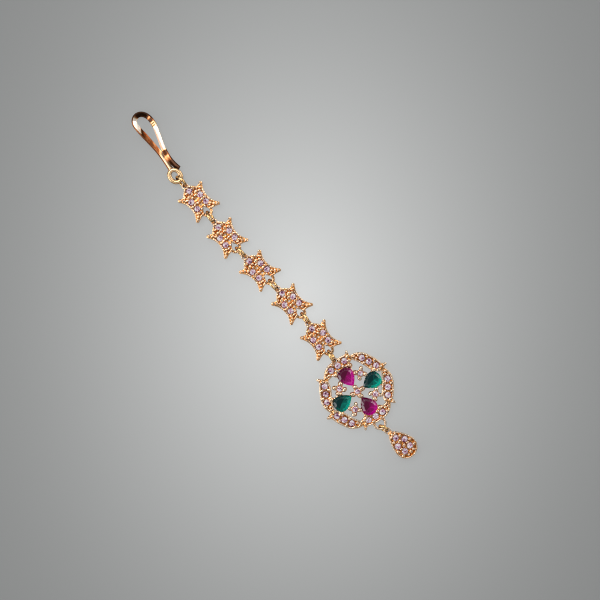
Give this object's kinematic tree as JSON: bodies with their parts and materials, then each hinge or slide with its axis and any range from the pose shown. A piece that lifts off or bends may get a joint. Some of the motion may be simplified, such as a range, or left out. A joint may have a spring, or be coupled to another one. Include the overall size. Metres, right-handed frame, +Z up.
{
  "type": "maang tikka",
  "caption": "Forehead ornament laid out flat: a hair hook, a chain of star links, a round pendant with pear-cut stones and a small stone-set drop.",
  "frame": {"origin": "on the surface that the ornament lies on, below the middle of its box", "axes": "+Y along the chain towards the hair hook, the drop at -Y; +Z up from the surface, out of the stones' faces"},
  "size_m": [0.0216, 0.117, 0.0039],
  "materials": {
    "gold_plated_brass": "cast brass with polished yellow to rose gold plating",
    "pink_stone": "pale pink faceted round stone",
    "ruby": "ruby-coloured faceted pear-cut stone",
    "emerald": "emerald-coloured faceted pear-cut stone"
  },
  "bodies": {
    "root": {"hook": "gold_plated_brass", "jump_ring_1": "gold_plated_brass", "jump_ring_2": "gold_plated_brass", "jump_ring_3": "gold_plated_brass", "jump_ring_4": "gold_plated_brass", "jump_ring_5": "gold_plated_brass", "jump_ring_6": "gold_plated_brass", "jump_ring_7": "gold_plated_brass", "star_1": "gold_plated_brass", "star_2": "gold_plated_brass", "star_3": "gold_plated_brass", "star_4": "gold_plated_brass", "star_5": "gold_plated_brass", "pendant_frame": "gold_plated_brass", "drop_setting": "gold_plated_brass", "star_1_stones": "pink_stone", "star_2_stones": "pink_stone", "star_3_stones": "pink_stone", "star_4_stones": "pink_stone", "star_5_stones": "pink_stone", "leaf_1_stones": "pink_stone", "leaf_2_stones": "pink_stone", "leaf_3_stones": "pink_stone", "leaf_4_stones": "pink_stone", "leaf_5_stones": "pink_stone", "leaf_6_stones": "pink_stone", "inner_stones": "pink_stone", "drop_stones": "pink_stone", "ruby_top": "ruby", "ruby_bottom": "ruby", "emerald_left": "emerald", "emerald_right": "emerald"}
  },
  "joints": []
}
